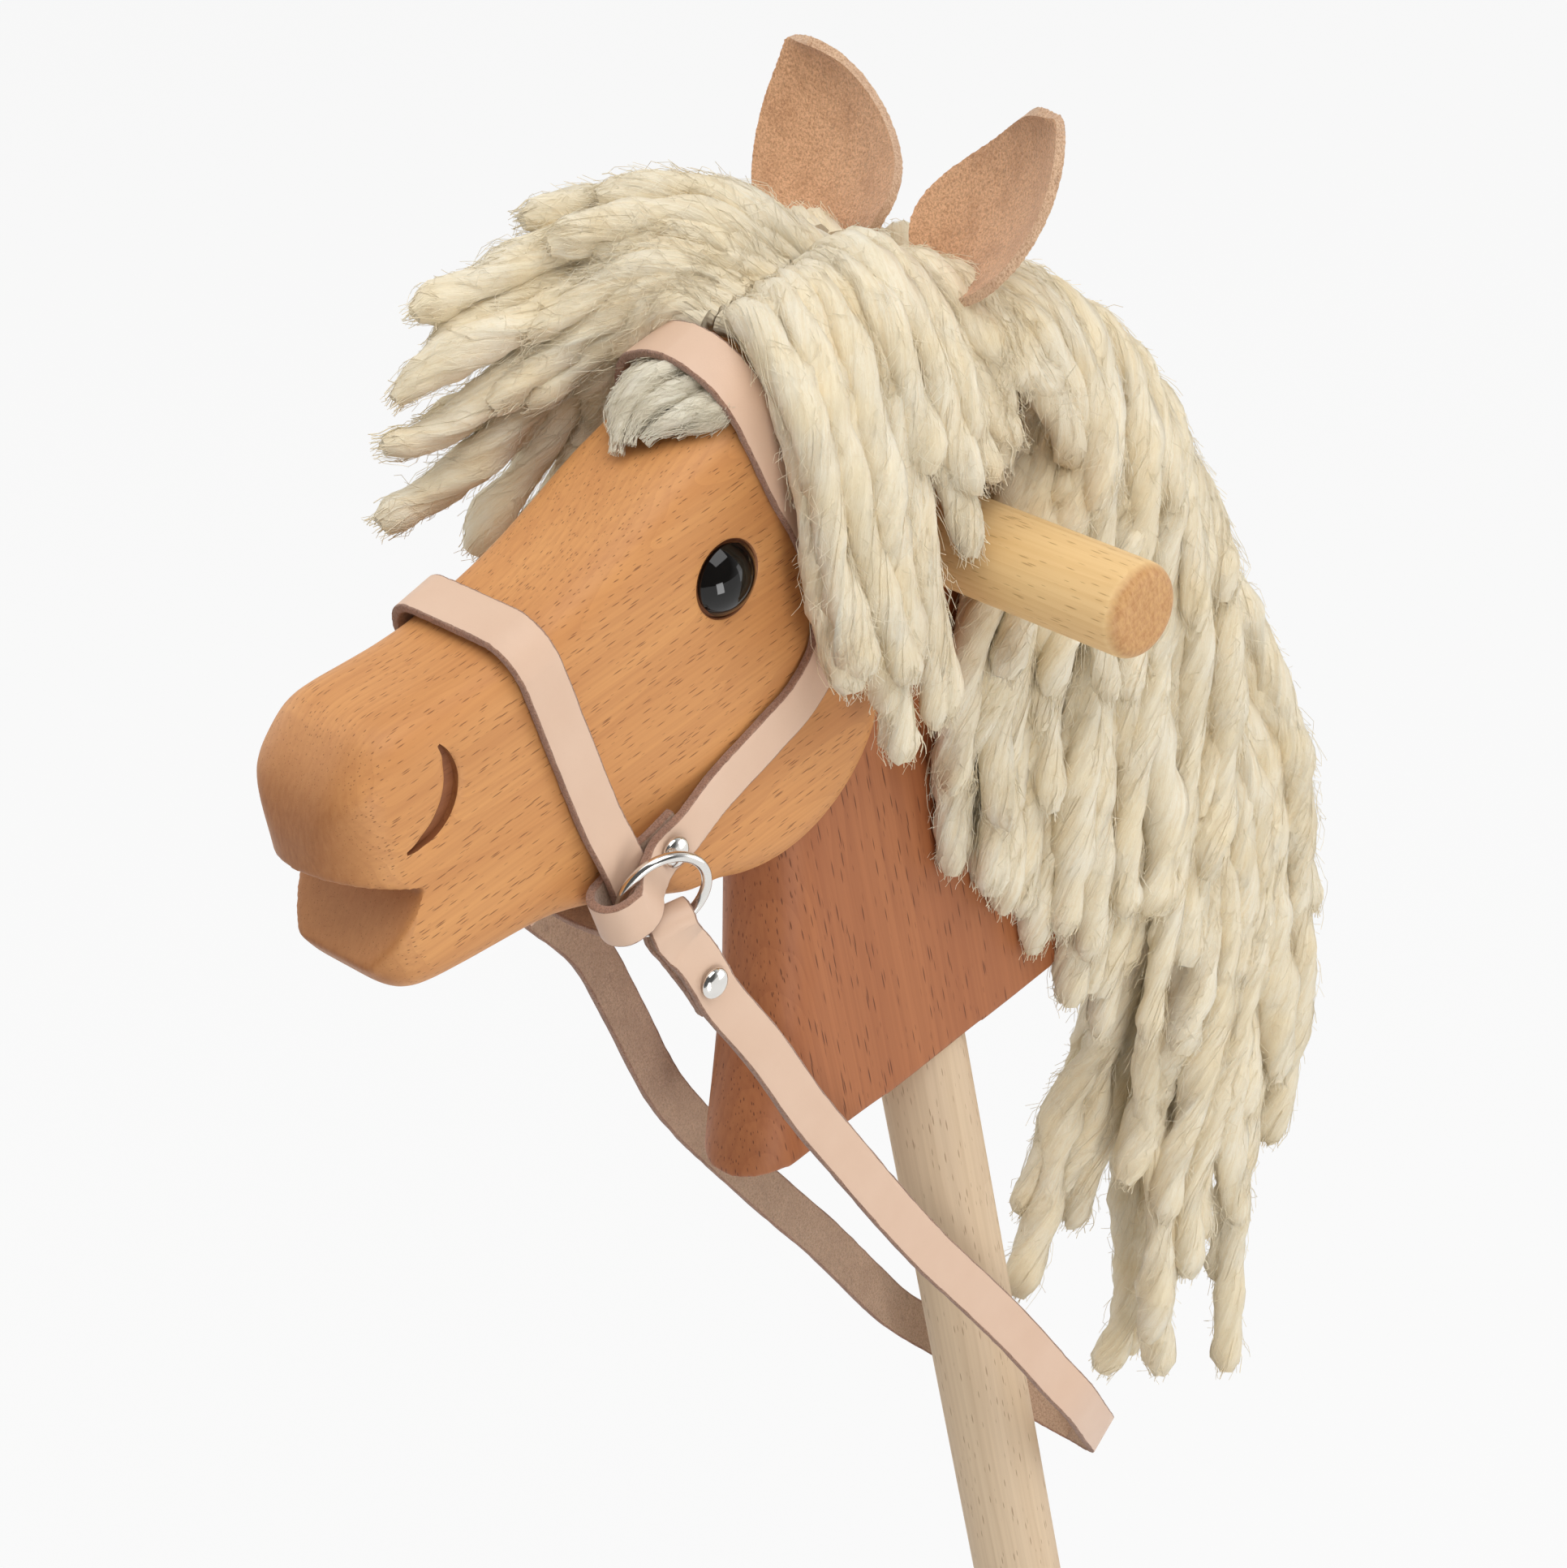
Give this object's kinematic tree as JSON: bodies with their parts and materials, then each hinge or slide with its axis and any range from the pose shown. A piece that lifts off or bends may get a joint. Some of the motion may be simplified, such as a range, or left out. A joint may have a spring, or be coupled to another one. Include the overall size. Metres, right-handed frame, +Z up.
{
  "type": "hobby horse",
  "caption": "Wooden toy horse head on a riding stick, with a grip bar through the neck, leather ears, woollen mane, and a leather bridle with loose rings and a swinging rein.",
  "frame": {"origin": "centre of the stick's flat lower end", "axes": "+Z up the stick, the horse faces -Y, its left side is +X"},
  "size_m": [0.163, 0.3174, 0.8842],
  "materials": {
    "pale_beech": "satin",
    "red_beech": "satin lacquer",
    "head_beech": "satin lacquer",
    "grip_beech": "satin lacquer",
    "strap_leather": "smooth",
    "ear_leather": "suede",
    "eye_black": "glossy",
    "nickel": "polished",
    "steel": "plain",
    "wool": "yarn",
    "backing_cloth": "woven"
  },
  "bodies": {
    "horse": {"brow_tuft": "wool", "cheek_rivet_cap_left": "nickel", "cheek_rivet_cap_right": "nickel", "cheek_rivet_post_left": "steel", "cheek_rivet_post_right": "steel", "ear_left": "ear_leather", "ear_right": "ear_leather", "ear_screw_left": "steel", "ear_screw_right": "steel", "eye_left": "eye_black", "eye_right": "eye_black", "forelock_left_1": "wool", "forelock_left_2": "wool", "forelock_left_3": "wool", "forelock_left_4": "wool", "forelock_left_5": "wool", "forelock_right_1": "wool", "forelock_right_2": "wool", "forelock_right_3": "wool", "forelock_right_4": "wool", "forelock_right_5": "wool", "grip_bar": "grip_beech", "head_block": "head_beech", "headpiece": "strap_leather", "mane_backing": "backing_cloth", "mane_left_1": "wool", "mane_left_2": "wool", "mane_left_3": "wool", "mane_right_1": "wool", "mane_right_2": "wool", "mane_right_3": "wool", "mane_tack_1": "steel", "mane_tack_2": "steel", "mane_tack_3": "steel", "mane_tack_4": "steel", "mane_tack_5": "steel", "neck_block": "red_beech", "noseband": "strap_leather", "stick": "pale_beech", "tail_left_1": "wool", "tail_left_2": "wool", "tail_left_3": "wool", "tail_right_1": "wool", "tail_right_2": "wool", "tail_right_3": "wool"},
    "bit_ring_left": {"bit_ring_left": "nickel"},
    "bit_ring_right": {"bit_ring_right": "nickel"},
    "rein": {"rein": "strap_leather", "rein_rivet_cap_left": "nickel", "rein_rivet_cap_right": "nickel", "rein_rivet_post_left": "steel", "rein_rivet_post_right": "steel"}
  },
  "joints": [
    {"name": "rein_swing", "type": "hinge", "parent": "horse", "child": "rein", "pos_m": [0, -0.095, 0.748], "axis": [1, 0, 0], "range_deg": [-2, 30], "deforming": ["tail_left_2", "tail_right_2", "tail_left_3", "tail_right_3"]},
    {"name": "bit_ring_left_turn", "type": "hinge", "parent": "horse", "child": "bit_ring_left", "pos_m": [0.02786, -0.10555, 0.748], "axis": [0.16, -0.0568, 0.9855], "range_deg": [-1, 8]},
    {"name": "bit_ring_right_turn", "type": "hinge", "parent": "horse", "child": "bit_ring_right", "pos_m": [-0.02786, -0.10555, 0.748], "axis": [-0.16, -0.0568, 0.9855], "range_deg": [-8, 1]}
  ],
  "couplings": [
    {"joint": "bit_ring_left_turn", "follows": "rein_swing", "ratio": 0.22},
    {"joint": "bit_ring_right_turn", "follows": "rein_swing", "ratio": -0.22}
  ]
}
